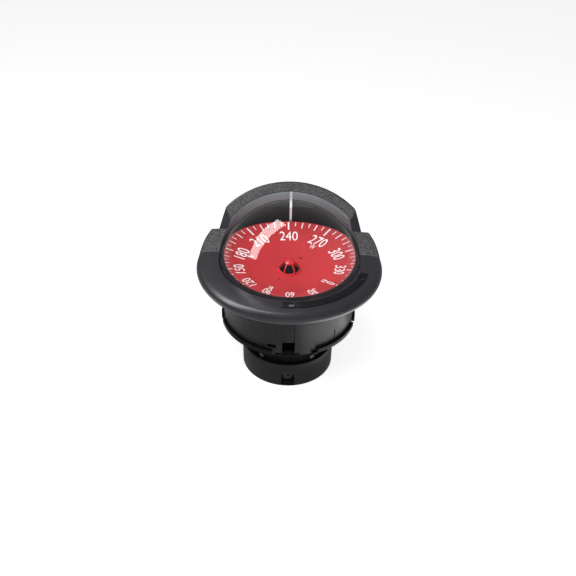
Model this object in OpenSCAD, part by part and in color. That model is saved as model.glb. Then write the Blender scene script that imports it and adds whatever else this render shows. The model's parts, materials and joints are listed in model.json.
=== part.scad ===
// Flush-mounted marine compass with a liquid-filled dome, a sighting hood and a gimballed card.
// The origin is the middle of the underside of the lower cup. +Z is up, +Y is towards the bow,
// where the hood stands, and the helmsman looks from -Y.

/* [Flange] */
// Width of the flange ring, from its hole to its outer edge
flange_w = 21.9; // [20:0.1:24]
// Thickness of the flange ring, which is also the diameter of its rounded edge
flange_t = 12; // [11:0.5:13]
// Rise of the flange's top from its rounded edge to the hole
flange_crown = 1.5; // [0.25:0.25:2]
// Gap between the dome and the flange's hole
dome_gap = 0.1; // [0.1:0.1:0.8]
// Gap between parts that are assembled into one another
fit_gap = 0.3; // [0.2:0.05:0.4]
// Radial gap of a shaft that turns in its hole
running_gap = 0.05; // [0.03:0.01:0.1]

/* [Dome] */
// Outer radius of the dome's sphere
dome_r = 70; // [69:0.25:70]
// Wall of the dome
dome_wall = 3; // [2:0.25:4]
// How far the foot that clamps the dome stands out past the sphere
dome_foot_w = 1.6; // [1.4:0.1:1.8]
// Thickness of the dome's foot
dome_foot_t = 2.5; // [2:0.1:2.6]
// Thickness of the gasket under the dome
gasket_t = 1; // [0.8:0.1:1.2]

/* [Hood] */
// Gap between the dome and the hood's inner wall
hood_gap = 1; // [0.8:0.1:1.4]
// Thickness of the hood's tall step, from its inner wall outwards
hood_step_t = 13.5; // [12:0.5:15]
// Distance of the hood's straight front joint from the middle
hood_front_y = 10; // [6:1:14]
// Depth of the seat that the hood has in the flange
hood_seat_t = 2; // [1.5:0.25:3]
// Slope of the ears, as degrees from level
ear_ramp = 36; // [30:1:40]
// Height of the ears over the flange, at the inner wall
ear_h = 15.9; // [14:0.5:17]
// Drop of the ears' tops from the inner wall to the edge
ear_drop = 6.4; // [5:0.2:8]
// Rounding of the ears' outer edge
ear_round = 3; // [2:0.25:4]
// Angle at which each ear ends, from the ship's side
ear_end = 27; // [25:0.5:29]
// Distance from the middle at which the tall step's height is given
step_y = 38.3; // [36:0.5:40]
// Height of the tall step over the flange, at that distance
step_h = 24.4; // [23:0.2:26]
// Slope of the tall step's top, as degrees from level
step_slope = 23; // [20:0.5:25]
// Angle of the foot of the step's end face, from the ship's side
step_foot_angle = 29.8; // [29:0.2:31]
// Height of that foot over the flange
step_foot_h = 10; // [9:0.5:11]
// Lean of the end face's normal, as degrees from straight up
end_face_tilt = 61; // [58:1:64]
// Turn of the end face's normal towards the helmsman, in degrees
end_face_turn = 31.5; // [28:0.5:35]
// Width of the sighting line on the hood's inner wall
hood_line_w = 2.6; // [2:0.1:3]
// Thickness of the sighting line
hood_line_t = 0.5; // [0.3:0.1:0.8]

/* [Label plate and compensators] */
// Distance of the compensator screws from the dome
comp_out = 6; // [5:0.25:7]
// Angle of the first compensator screw, from the starboard side
comp_angle_a = -88; // [-95:1:-85]
// Angle of the second compensator screw
comp_angle_b = -24; // [-30:1:-20]
// Radius of a compensator screw's head
comp_head_r = 2.6; // [2:0.1:3]
// Height of a compensator screw's head
comp_head_h = 1.2; // [1:0.1:1.5]
// Depth of the compensator screws' wells under the flange's edge
comp_sink = 1; // [0.5:0.1:1.2]
// Radius of a compensator's shaft
comp_shaft_r = 1.5; // [1:0.1:1.6]
// Radius of a compensator's magnet
comp_magnet_r = 3.4; // [3:0.1:3.5]
// Height of a compensator's magnet
comp_magnet_h = 4.5; // [3:0.5:4.5]
// Width of the bare label plate
label_w = 7.6; // [6.8:0.2:8]
// Thickness of the label plate
label_t = 0.6; // [0.4:0.1:0.9]
// How far the label plate runs past each compensator screw, in degrees
label_past = 7; // [5:0.5:9]

/* [Canister] */
// How much smaller the canister is than the dome, in radius
canister_in = 3.5; // [2:0.25:4]
// Wall of the canister
canister_wall = 2; // [1.5:0.25:2.25]
// Height of the canister under the flange
canister_h = 58; // [57:0.5:60]
// Thickness of the canister's base plate
canister_base_t = 2.5; // [2:0.25:3]
// Chamfer at the canister's foot
canister_chamfer = 3; // [2:0.25:3.5]
// Width of the flange that holds the canister in the ring
canister_flange_w = 11; // [10.7:0.1:11.5]
// Thickness of that flange
canister_flange_t = 2.2; // [2:0.1:2.4]
// How much smaller than the neck the hole in the canister's base plate is
canister_hole_in = 13.5; // [10:0.5:18]
// Width of the front window
window_w = 12.2; // [10:0.2:14]
// Height of the front window
window_h = 13.5; // [12:0.5:14]
// Height of the window's lower edge over the canister's foot
window_sill = 5.5; // [5:0.5:6]
// Sideways place of the front window
window_x = 0.9; // [0:0.1:1.5]
// Distance of the tongue's upper end under the panel face
tongue_drop = 6; // [4:0.5:10]
// How far the tongue stands out
tongue_t = 0.6; // [0.4:0.1:0.9]
// Width of the long slot under the window
long_slot_w = 23.4; // [20:0.2:26]
// Height of that slot
long_slot_h = 3; // [2:0.25:3.25]
// Height of that slot's lower edge over the canister's foot
long_slot_sill = 2.25; // [1.5:0.25:2.25]
// Width of the small slot beside the window
small_slot_w = 8.8; // [7:0.2:10]
// Height of the small slot
small_slot_h = 3.4; // [2:0.2:4]
// Height of the small slot over the canister's foot
small_slot_sill = 11; // [10:0.5:13]
// Angle of the small slot, from the starboard side
small_slot_angle = -103.5; // [-106:0.5:-102]
// Width of the upright slit
slit_w = 1.2; // [1:0.1:2]
// Height of the upright slit
slit_h = 12; // [10:0.5:13]
// Height of the slit over the canister's foot
slit_sill = 9.5; // [9:0.5:11]
// Angle of the slit, from the starboard side
slit_angle = -46.5; // [-50:0.5:-44]

/* [Clamp ring] */
// How far the segmented clamp ring stands out from the canister
clamp_t = 2.8; // [2.5:0.1:3.5]
// Height of the clamp ring
clamp_h = 5; // [4:0.25:6]
// Height of the clamp ring over the canister's foot
clamp_sill = 3.7; // [3.4:0.1:4.5]
// Width of a bayonet catch at a segment's end
catch_w = 5; // [4:0.5:6]

/* [Neck and lower cup] */
// How much smaller the neck is than the lower cup, in radius
neck_in = 4; // [3.5:0.25:5]
// Height of the neck that shows between the canister and the cup
neck_h = 27; // [24:0.5:30]
// Wall of the neck, the cup and their spigot
neck_wall = 2.5; // [2:0.25:2.75]
// Depth of the cup's groove that the neck stands in
neck_depth = 10; // [8:0.5:11]
// Width of the neck's top flange
neck_flange_w = 11; // [9:0.5:13]
// Outer radius of the lower cup
cup_r = 48; // [47.5:0.25:50]
// Height of the lower cup
cup_h = 28; // [26:0.5:30]
// Height by which the cup's spigot rises inside the neck
spigot_h = 6; // [5.5:0.5:8]
// Width of the arched cable recess in the cup
recess_w = 13.4; // [12:0.2:15]
// Height of the recess's sill over the cup's underside
recess_sill = 1.2; // [0.8:0.1:2]
// Thickness that the cup keeps between the arched recess and the neck
recess_roof = 0.5; // [0.5:0.1:2]
// Depth of the cable recess from the cup's outside
recess_depth = 9; // [8:0.5:10]
// Thickness of the wall behind the recess
recess_wall = 3; // [2:0.25:4]
// Sideways place of the cable recess
recess_x = 0.9; // [0:0.1:1.5]
// Height of the cable gland's axis
gland_z = 8.6; // [8:0.1:9.5]
// Radius of the cable gland's nut
gland_nut_r = 4.4; // [4:0.1:4.8]
// Height of the cable gland's nut
gland_nut_h = 3; // [2.5:0.25:3.5]
// Radius of the cable gland's barrel
gland_barrel_r = 3.4; // [3.2:0.1:3.7]
// Radius of the gland's bore, which takes the lamp cable
gland_bore_r = 2.5; // [2:0.1:2.7]

/* [Fluid bowl] */
// Gap between the bowl and the canister's wall
bowl_gap = 1; // [0.75:0.05:2]
// Wall of the bowl
bowl_wall = 2.5; // [2:0.25:2.75]
// Thickness of the bowl's rim
bowl_rim_t = 2.8; // [2.5:0.1:2.9]
// Radius of the flat middle of the bowl's floor
bowl_flat_r = 31; // [29:0.5:33]
// Radius of the hole under the diaphragm
diaphragm_hole_r = 13; // [11:0.5:14]
// Thickness of the diaphragm
diaphragm_t = 1.2; // [1:0.1:1.4]
// Radius of the diaphragm and of its clamp
diaphragm_r = 19; // [18:0.5:20]
// How far the filler plug's middle lies outside the flat floor
filler_out = 1; // [0:0.5:2]
// Width of the lubber line's edge
lubber_w = 1.2; // [1:0.1:1.6]
// Thickness of the lubber line
lubber_t = 0.4; // [0.3:0.1:0.6]
// Width of the collar that the bowl has round the card
collar_w = 11; // [9:0.25:12]
// Height of the collar's upper edge over the panel face
collar_lift = 6; // [5:0.25:6]
// Height of the collar's inner wall
collar_h = 9.5; // [8:0.5:10]
// Radius of the night lamp
lamp_r = 3; // [2.5:0.25:3]
// Depth of the night lamp under the panel face
lamp_drop = 14; // [12:0.5:16]
// Angle of the night lamp, from the starboard side
lamp_angle = 60; // [50:5:70]

/* [Gimbal] */
// Depth of the gimbal axes under the panel face
gimbal_drop = 18; // [17:0.25:19]
// Outer radius of the gimbal ring
gimbal_r = 14.5; // [14.2:0.1:15]
// Radial width of the gimbal ring
gimbal_w = 3; // [2.5:0.1:3]
// Height of the gimbal ring
gimbal_h = 4.4; // [4:0.1:5]
// Radius of the gimbal pins
pin_r = 1; // [0.8:0.05:1.1]
// Distance from the middle to the inner face of the stand's uprights
fork_x = 18; // [17.5:0.1:18.5]
// Thickness of the stand's uprights
fork_t = 3; // [2.5:0.1:3]
// Width of the stand's uprights
fork_w = 6; // [5:0.25:7]
// Height of the uprights over the gimbal axis
fork_over = 2; // [1.8:0.1:2.2]
// Outer radius of the stand's foot
stand_r = 26; // [25:0.5:27]
// Thickness of the stand's foot
stand_t = 2.5; // [2:0.25:3]
// Radius of the cradle's block
cradle_r = 7; // [6.5:0.25:7.25]
// Height of the cradle's block
cradle_h = 8; // [7:0.25:8]
// Radius of the counterweight
weight_r = 7.5; // [7:0.25:7.5]
// Height of the counterweight
weight_h = 14; // [12:0.5:14]
// Gap between the cradle's block and the counterweight
weight_gap = 2; // [1.5:0.25:2]
// Radius of the pivot post
post_r = 2.2; // [2:0.1:2.4]
// Radius of the steel pivot's shank
pivot_r = 0.7; // [0.5:0.05:0.8]

/* [Card] */
// Gap between the card's edge and the bowl's collar
card_gap = 2.5; // [2.25:0.25:4]
// Thickness of the card
card_t = 0.8; // [0.6:0.1:1]
// Height of the card's face over the panel face
card_lift = 0.3; // [0:0.1:1]
// Radius of the card's hub
hub_r = 7.8; // [7.4:0.1:8.4]
// Wall of the hub's cage
hub_wall = 0.9; // [0.7:0.1:1.1]
// Number of ribs in the hub's cage
hub_ribs = 6; // [5:1:8]
// Width of a rib in the hub's cage
hub_rib_w = 0.8; // [0.6:0.1:1]
// Height of the solid ring at the foot of the cage
hub_ring_h = 0.8; // [0.6:0.1:1.4]
// Radius of the closed cap on the cage
hub_cap_r = 3.6; // [3.4:0.1:4.2]
// Radius of the jewel's holder
jewel_holder_r = 2.8; // [2.5:0.1:3.2]
// Distance of a vent slit in the card from the card's middle
vent_r = 15.5; // [15:0.25:17]
// Length of a vent slit
vent_l = 3.2; // [2.4:0.1:4]
// Width of a vent slit at its wide end
vent_w = 2.2; // [1.6:0.1:2.6]
// Angle of the first vent slit, from the starboard side
vent_angle = 64; // [60:1:70]
// Height of the pivot's point over the card's face
pivot_point_h = 4.6; // [4:0.1:5]
// Outer radius of the float under the card
float_r = 12.5; // [12:0.25:12.5]
// Height of the float
float_h = 3.6; // [3:0.1:3.6]
// Length of a card magnet
magnet_l = 28; // [24:0.5:28]
// Width of a card magnet
magnet_w = 3; // [2.5:0.1:3.2]
// Thickness of a card magnet
magnet_t = 1.8; // [1.5:0.1:1.9]
// Angle of the card's north mark at rest, from the starboard side
north_angle = -31.4; // [-40:0.1:-20]

/* [Screws] */
// Radius of the pilot and clearance holes' screws
screw_r = 1.4; // [1.2:0.1:1.5]
// Radius of the screw heads
screw_head_r = 2.5; // [2.3:0.1:2.6]
// Height of the screw heads
screw_head_h = 1.2; // [1:0.1:1.4]
// Length of a screw's thread in the part that it holds
screw_grip = 5; // [4:0.25:5.5]
// Distance of the canister's screws from its flange's edge
canister_screw_in = 2.6; // [2.5:0.1:2.9]
// Distance of the panel's screws from the flange's edge
panel_screw_in = 9; // [8:0.25:9.25]
// Distance of the hood's screws from the flange's edge
hood_screw_in = 11; // [10.75:0.05:11.1]
// Radius of the pilot holes for the panel's screws
panel_hole_r = 1.6; // [1.2:0.1:1.8]
// Depth of those pilot holes
panel_hole_h = 6; // [4:0.5:7]

/* [Hidden] */
$fn = 96;
cut = fit_gap;
canister_z = cup_h + neck_h;
seat_z = canister_z + canister_h;
flange_z = seat_z + flange_t;
edge_r = flange_t / 2;
flange_bore_r = dome_r + dome_gap;
flange_r = flange_bore_r + flange_w;
flat_r = flange_r - edge_r;
dome_foot_r = dome_r + dome_foot_w;
hood_inner_r = dome_r + hood_gap;
hood_step_r = hood_inner_r + hood_step_t;
comp_circle_r = dome_r + comp_out;
canister_r = dome_r - canister_in;
canister_flange_r = canister_r + canister_flange_w;
canister_screw_r = canister_flange_r - canister_screw_in;
panel_screw_r = flange_r - panel_screw_in;
hood_screw_r = flange_r - hood_screw_in;
clamp_r = canister_r + clamp_t;
counter_r = canister_flange_r + fit_gap;
stack_r = dome_foot_r + fit_gap;
rim_z = seat_z + canister_flange_t;
gasket_z = rim_z + bowl_rim_t;
foot_z = gasket_z + gasket_t;
lip_z = foot_z + dome_foot_t;
step_tan = tan(step_slope);
step_top_z = flange_z + step_h - step_y * step_tan;
canister_inner_r = canister_r - canister_wall;
window_z = canister_z + window_sill;
tongue_top_z = seat_z - tongue_drop;
neck_r = cup_r - neck_in;
neck_flange_r = neck_r + neck_flange_w;
neck_inner_r = neck_r - neck_wall;
canister_hole_r = neck_inner_r - canister_hole_in;
bowl_inner_r = canister_inner_r - bowl_gap - bowl_wall;
bowl_bend_r = bowl_inner_r - bowl_flat_r;
filler_x = bowl_flat_r + filler_out;
collar_r = bowl_inner_r - collar_w;
collar_top_z = seat_z + collar_lift;
collar_foot_z = collar_top_z - collar_h;
comp_seat_z = flange_z - comp_sink;
card_r = collar_r - card_gap;
cup_inner_r = cup_r - neck_wall;
spigot_r = neck_inner_r - fit_gap;
groove_z = cup_h - neck_depth;
recess_h = groove_z - recess_roof;
recess_y = -cup_r + recess_depth;
clamp_under_z = canister_z + canister_base_t + fit_gap;
floor_under_z = clamp_under_z + stand_t + diaphragm_t;
floor_z = floor_under_z + bowl_wall;
gimbal_z = seat_z - gimbal_drop;
gimbal_inner_r = gimbal_r - gimbal_w;
card_z = seat_z + card_lift;
point_z = card_z + pivot_point_h;
jewel_h = hub_wall * 2;
pocket_z = lip_z;
magnet_offset = float_r + fit_gap + magnet_w / 2;
card_hole_r = hub_r - hub_wall;
hood_screw_angles = [20, 62, 118, 160];
panel_screw_angles = [45, 135, 225, 315];
canister_screw_angles = [0, 45, 135, 180, 225, 315];
neck_screw_angles = [45, 135, 225, 315];
cup_screw_angles = [-56, -126, 56, 126];
stand_screw_angles = [0, 120, 240];
clamp_screw_angles = [45, 135, 225, 315];
clamp_spans = [[-65, 49], [-165, 62], [-10, 200]];
neck_screw_circle_r = (neck_r + neck_flange_r) / 2;
clamp_screw_circle_r = (diaphragm_r + diaphragm_hole_r) / 2;
small_r = screw_r / 2;
small_head_r = screw_head_r / 2;
stand_screw_circle_r = diaphragm_r + fit_gap + small_head_r;

// Height of the flange's crowned top at a distance from the middle
function crown_z(r) = flange_z + flange_crown * (flat_r - r) / (flat_r - flange_bore_r);

// Stands children on a circle about Z, at the given angles
module around(angles, radius) {
    for (a = angles) rotate([0, 0, a]) translate([radius, 0, 0]) children();
}

// A tube from z0 to z1
module tube(outer, inner, z0, z1) {
    rotate_extrude() translate([inner, z0]) square([outer - inner, z1 - z0]);
}

// A solid round bar from z0 to z1
module bar(radius, z0, z1) {
    translate([0, 0, z0]) cylinder(r = radius, h = z1 - z0);
}

// A screw that points up, with its head's underside at z = 0
module screw_up(shank_r, head_r, length) {
    bar(shank_r, 0, length);
    bar(head_r, -screw_head_h, 0);
}

// All that lies towards the bow of the hood's front joint
module bow_side() {
    translate([-flange_r * 2, hood_front_y, 0]) cube([flange_r * 4, flange_r * 2, flange_z * 3]);
}

// The seat that the hood takes out of the flange ring
module hood_seat_profile() {
    translate([hood_inner_r, flange_z - hood_seat_t]) square([flange_r, hood_seat_t + flange_crown + cut]);
    translate([flat_r, flange_z - edge_r]) square([flange_r, edge_r + cut]);
}

// The rounded outline of the flange ring
module flange_profile() {
    polygon([
        [flange_bore_r, seat_z], [flat_r, seat_z],
        [flat_r, flange_z], [flange_bore_r, crown_z(flange_bore_r)]
    ]);
    translate([flat_r, seat_z + edge_r]) circle(r = edge_r);
}

module bezel_ring() color("#2b2c31") difference() {
    rotate_extrude() flange_profile();
    intersection() {
        rotate_extrude() hood_seat_profile();
        bow_side();
    }
    bar(counter_r, seat_z - cut, rim_z + fit_gap / 3);
    bar(stack_r, seat_z, lip_z);
    around(canister_screw_angles, canister_screw_r) bar(screw_r - running_gap, rim_z, rim_z + screw_grip);
    around(hood_screw_angles, hood_screw_r) {
        bar(screw_r + running_gap, seat_z - cut, flange_z);
        bar(screw_head_r + fit_gap, seat_z - cut, seat_z + screw_head_h + fit_gap);
    }
    around(panel_screw_angles, panel_screw_r) bar(panel_hole_r, seat_z - cut, seat_z + panel_hole_h);
    around([comp_angle_a, comp_angle_b], comp_circle_r) {
        bar(comp_magnet_r + fit_gap, rim_z, pocket_z);
        bar(comp_shaft_r + running_gap, pocket_z - cut, flange_z + cut);
        bar(comp_head_r + fit_gap, comp_seat_z, flange_z + flange_t);
    }
}

// The ears' outline: a top that falls towards the edge, which is rounded
module ear_profile() {
    edge_h = ear_h - ear_drop;
    inside = hood_inner_r - canister_wall;
    slope = ear_drop / (flange_r - ear_round - hood_inner_r);
    polygon([
        [inside, flange_z - hood_seat_t],
        [inside, flange_z + ear_h + slope * canister_wall],
        [flange_r - ear_round, flange_z + edge_h],
        for (a = [75 : -15 : 0])
            [flange_r - ear_round * (1 - cos(a)), flange_z + edge_h - ear_round * (1 - sin(a))],
        [flange_r, flange_z - edge_r],
        [flat_r, flange_z - edge_r],
        [flat_r, flange_z - hood_seat_t]
    ]);
}

// The ring at the hood's foot, which completes the flange's rounded edge
module hood_foot_profile() {
    polygon([
        [flange_bore_r, flange_z - hood_seat_t], [flat_r, flange_z - hood_seat_t],
        [flat_r, flange_z], [flange_bore_r, crown_z(flange_bore_r)]
    ]);
    intersection() {
        translate([flat_r, flange_z - edge_r]) circle(r = edge_r);
        translate([flat_r, flange_z - edge_r]) square(edge_r);
    }
}

// The sloping wedge that limits the ears
module ear_ramp_block() {
    run = ear_h / tan(ear_ramp);
    translate([-flange_r * 2, 0, flange_z]) rotate([90, 0, 90]) linear_extrude(flange_r * 4) polygon([
        [hood_front_y, -edge_r],
        [hood_front_y, 0],
        [hood_front_y + run, ear_h],
        [flange_r, ear_h],
        [flange_r, -edge_r]
    ]);
}

// The plane block that trims the tall step at one end
module end_face_cut() {
    reach = flange_r * 2;
    rotate([0, 0, step_foot_angle]) translate([hood_step_r, 0, flange_z + step_foot_h])
        rotate([0, 0, -step_foot_angle - end_face_turn]) rotate([0, end_face_tilt, 0])
        translate([-reach / 2, -reach / 2, 0]) cube(reach);
}

// The tall step under its sloping top
module hood_step() difference() {
    intersection() {
        tube(hood_step_r, hood_inner_r - dome_wall, flange_z - hood_seat_t, flange_z + flange_r);
        translate([-flange_r, 0, 0]) rotate([90, 0, 90]) linear_extrude(flange_r * 2) polygon([
            [hood_front_y, 0],
            [hood_front_y, step_top_z + hood_front_y * step_tan],
            [flange_r, step_top_z + flange_r * step_tan],
            [flange_r, 0]
        ]);
    }
    end_face_cut();
    mirror([1, 0, 0]) end_face_cut();
}

module hood() color("#3a3b40") difference() {
    union() {
        intersection() {
            rotate_extrude() hood_foot_profile();
            bow_side();
        }
        intersection() {
            union() {
                rotate_extrude(angle = ear_end) ear_profile();
                rotate([0, 0, 180 - ear_end]) rotate_extrude(angle = ear_end) ear_profile();
            }
            ear_ramp_block();
        }
        hood_step();
    }
    bar(hood_inner_r, seat_z, flange_z + flange_r);
    around(hood_screw_angles, hood_screw_r)
        bar(screw_r - running_gap, flange_z - edge_r - cut, flange_z + screw_grip - hood_seat_t);
}

module hood_line() color("white") intersection() {
    tube(hood_inner_r, hood_inner_r - hood_line_t, flange_z + flange_crown, flange_z + flange_r);
    translate([-hood_line_w / 2, 0, 0]) rotate([90, 0, 90]) linear_extrude(hood_line_w) polygon([
        [0, 0],
        [0, step_top_z],
        [flange_r, step_top_z + flange_r * step_tan],
        [flange_r, 0]
    ]);
}

module hood_screws() color("silver") around(hood_screw_angles, hood_screw_r)
    translate([0, 0, seat_z + screw_head_h + fit_gap])
    screw_up(screw_r - running_gap, screw_head_r, flange_t + screw_grip - hood_seat_t - screw_head_h - fit_gap);

module label_plate() color("#17171a") difference() {
    start = comp_angle_a - label_past;
    inside = comp_circle_r - label_w / 2;
    outside = inside + label_w;
    rotate([0, 0, start]) rotate_extrude(angle = comp_angle_b + label_past - start) polygon([
        [inside, crown_z(inside)], [outside, crown_z(outside)],
        [outside, crown_z(outside) + label_t], [inside, crown_z(inside) + label_t]
    ]);
    around([comp_angle_a, comp_angle_b], comp_circle_r) bar(comp_head_r + fit_gap, seat_z, flange_z + flange_t);
}

module dome() color("#dfe8ee", 0.3) {
    inner = dome_r - dome_wall;
    difference() {
        intersection() {
            translate([0, 0, seat_z]) sphere(r = dome_r);
            bar(dome_r + dome_wall, lip_z, seat_z + dome_r + dome_wall);
        }
        translate([0, 0, seat_z]) sphere(r = inner);
    }
    tube(dome_foot_r, inner, foot_z, lip_z);
}

module dome_gasket() color("#111113") tube(dome_foot_r, dome_r - dome_wall, gasket_z, foot_z);

// The bowl's rounded floor and straight wall, at a distance outside the inner face
function bowl_bend(out, angles) = [for (a = angles)
    [bowl_flat_r + (bowl_bend_r + out) * cos(a), floor_z + bowl_bend_r - (bowl_bend_r + out) * sin(a)]];

// The bowl's cross-section, with the collar round the card and the rim under the gasket
module bowl_profile() {
    polygon([
        [0, floor_z],
        each bowl_bend(0, [90 : -7.5 : 0]),
        [bowl_inner_r, collar_foot_z - collar_h],
        [collar_r, collar_foot_z],
        [collar_r, collar_top_z],
        [collar_r + collar_w / 2, collar_top_z],
        [dome_r - dome_wall - fit_gap, gasket_z],
        [dome_foot_r, gasket_z],
        [dome_foot_r, rim_z],
        [bowl_inner_r + bowl_wall, rim_z],
        each bowl_bend(bowl_wall, [0 : 7.5 : 90]),
        [0, floor_under_z]
    ]);
}

// A hole along the night lamp's axis, from the middle outwards
module lamp_bar(radius, r0, r1) {
    rotate([0, 0, lamp_angle]) translate([r0, 0, seat_z - lamp_drop]) rotate([0, 90, 0])
        cylinder(r = radius, h = r1 - r0);
}

module bowl() color("#1a1a1c") difference() {
    rotate_extrude() bowl_profile();
    bar(diaphragm_hole_r, floor_under_z - cut, floor_z + cut);
    lamp_bar(lamp_r, bowl_inner_r - bowl_wall, canister_inner_r);
    translate([-filler_x, 0, 0]) bar(screw_head_r, floor_under_z - cut, floor_z + cut);
    around(stand_screw_angles, stand_screw_circle_r) bar(small_r, floor_under_z - cut, floor_z + cut);
    around(clamp_screw_angles, clamp_screw_circle_r)
        bar(small_r, floor_under_z - cut, floor_under_z + bowl_wall / 2);
}

module lubber_line() color("white") intersection() {
    union() {
        tube(collar_r, collar_r - lubber_t, collar_foot_z, collar_top_z + lubber_t);
        tube(bowl_inner_r - lubber_t, collar_r - lubber_t, collar_top_z, collar_top_z + lubber_t);
    }
    translate([-lubber_w / 2, 0, 0]) cube([lubber_w, bowl_inner_r, flange_z]);
}

module night_lamp() color("#b03030") {
    lamp_bar(lamp_r, bowl_inner_r - lamp_r, canister_inner_r - fit_gap);
    rotate([0, 0, lamp_angle]) translate([bowl_inner_r - lamp_r, 0, seat_z - lamp_drop]) sphere(r = lamp_r);
}

module gimbal_stand() color("#202022") {
    difference() {
        union() {
            tube(stand_r, diaphragm_hole_r + fit_gap, floor_z, floor_z + stand_t);
            for (side = [0, 180]) rotate([0, 0, side])
                translate([fork_x, -fork_w / 2, floor_z])
                cube([fork_t, fork_w, gimbal_z + fork_over - floor_z]);
        }
        translate([-stand_r, 0, gimbal_z]) rotate([0, 90, 0])
            cylinder(r = pin_r + running_gap, h = stand_r * 2);
        around(stand_screw_angles, stand_screw_circle_r)
            bar(small_r, floor_z - cut, floor_z + stand_t / 2);
    }
}

module stand_screws() color("silver") around(stand_screw_angles, stand_screw_circle_r)
    translate([0, 0, floor_under_z]) screw_up(small_r, small_head_r, bowl_wall + stand_t / 2);

module diaphragm() color("#141415") difference() {
    bar(diaphragm_r, floor_under_z - diaphragm_t, floor_under_z);
    around(clamp_screw_angles, clamp_screw_circle_r) bar(small_r, clamp_under_z, floor_z);
}

module diaphragm_clamp() color("#8a8c90") difference() {
    tube(diaphragm_r, diaphragm_hole_r, clamp_under_z, floor_under_z - diaphragm_t);
    around(clamp_screw_angles, clamp_screw_circle_r) bar(small_r, clamp_under_z - cut, floor_z);
}

module clamp_screws() color("silver") around(clamp_screw_angles, clamp_screw_circle_r)
    translate([0, 0, clamp_under_z])
    screw_up(small_r, small_head_r, floor_under_z + bowl_wall / 2 - clamp_under_z);

module filler_plug() color("#b8a060") translate([-filler_x, 0, 0]) {
    bar(screw_head_r, floor_under_z, floor_z);
    bar(screw_head_r * 2, floor_under_z - bowl_wall, floor_under_z);
}

// A block that reaches through the canister's wall, for windows and slots
module wall_cut(angle, side, width, z0, height) {
    rotate([0, 0, angle]) translate([canister_inner_r - canister_wall, side - width / 2, z0])
        cube([canister_wall * 4, width, height]);
}

module canister() color("#2a2a2d") difference() {
    union() {
        difference() {
            rotate_extrude() polygon([
                [0, canister_z],
                [canister_r - canister_chamfer, canister_z],
                [canister_r, canister_z + canister_chamfer],
                [canister_r, seat_z],
                [canister_flange_r, seat_z],
                [canister_flange_r, rim_z],
                [0, rim_z]
            ]);
            bar(canister_inner_r, canister_z + canister_chamfer + canister_base_t, rim_z + cut);
            bar(canister_inner_r - canister_chamfer, canister_z + canister_base_t, rim_z);
            bar(canister_hole_r, canister_z - cut, rim_z);
        }
        intersection() {
            tube(canister_r + tongue_t, canister_inner_r, canister_z, seat_z);
            wall_cut(-90, window_x, window_w, window_z, tongue_top_z - window_z);
        }
    }
    wall_cut(-90, window_x, window_w, window_z, window_h);
    wall_cut(-90, 0, long_slot_w, canister_z + long_slot_sill, long_slot_h);
    wall_cut(small_slot_angle, 0, small_slot_w, canister_z + small_slot_sill, small_slot_h);
    wall_cut(slit_angle, 0, slit_w, canister_z + slit_sill, slit_h);
    around(canister_screw_angles, canister_screw_r) {
        bar(screw_r, seat_z - cut, rim_z + cut);
        bar(screw_head_r, seat_z - cut, seat_z + screw_head_h);
    }
    around(neck_screw_angles, neck_screw_circle_r)
        bar(screw_r - running_gap, canister_z - cut, canister_z + canister_base_t + cut);
}

module canister_screws() color("silver") around(canister_screw_angles, canister_screw_r)
    translate([0, 0, seat_z + screw_head_h])
    screw_up(screw_r - running_gap, screw_head_r, canister_flange_t - screw_head_h + screw_grip);

module clamp_ring() color("#111112") {
    base = canister_z + clamp_sill;
    for (span = clamp_spans) rotate([0, 0, span[0]]) rotate_extrude(angle = span[1])
        translate([canister_r, base]) square([clamp_r - canister_r, clamp_h]);
    rotate([0, 0, clamp_spans[0][0]]) translate([canister_r, -catch_w, base - clamp_h / 4])
        cube([clamp_r - canister_r, catch_w, clamp_h / 2]);
}

module neck() color("#151516") difference() {
    union() {
        tube(neck_r, neck_inner_r, groove_z, canister_z);
        tube(neck_flange_r, neck_inner_r, canister_z - neck_wall, canister_z);
    }
    around(neck_screw_angles, neck_screw_circle_r) bar(screw_r, groove_z, canister_z + cut);
    for (a = cup_screw_angles) cup_screw_bar(a, screw_r, spigot_r, cup_r);
}

module neck_screws() color("silver") around(neck_screw_angles, neck_screw_circle_r)
    translate([0, 0, canister_z - neck_wall])
    screw_up(screw_r - running_gap, screw_head_r, neck_wall + canister_base_t);

// A round bar along one of the screws that hold the cup to the neck
module cup_screw_bar(angle, radius, r0, r1) {
    rotate([0, 0, angle]) translate([r0, 0, cup_h + spigot_h / 2]) rotate([0, 90, 0])
        cylinder(r = radius, h = r1 - r0);
}

// The arched hollow for the cable, cut from the front of the cup to the depth y
module recess_cut(y) {
    half = recess_w / 2;
    translate([recess_x, y, 0]) rotate([90, 0, 0]) linear_extrude(cup_r) {
        translate([-half, recess_sill]) square([recess_w, recess_h - half - recess_sill]);
        translate([0, recess_h - half]) circle(r = half);
    }
}

module lower_cup() color("#2a2a2d") difference() {
    union() {
        tube(cup_r, cup_inner_r, 0, cup_h);
        bar(cup_r, 0, neck_wall);
        tube(cup_r, spigot_r - neck_wall, groove_z - neck_wall, groove_z);
        tube(spigot_r, spigot_r - neck_wall, groove_z, cup_h + spigot_h);
        intersection() {
            bar(cup_inner_r + cut, 0, groove_z);
            translate([recess_x - recess_w / 2 - recess_wall, -cup_r, 0])
                cube([recess_w + recess_wall * 2, recess_depth + recess_wall, groove_z]);
        }
    }
    recess_cut(recess_y);
    translate([recess_x, recess_y + recess_wall + cut, gland_z]) rotate([90, 0, 0])
        cylinder(r = gland_barrel_r, h = recess_wall + cut * 2);
    for (a = cup_screw_angles) cup_screw_bar(a, screw_r - running_gap, spigot_r - neck_wall - cut, cup_r * 2);
}

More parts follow.
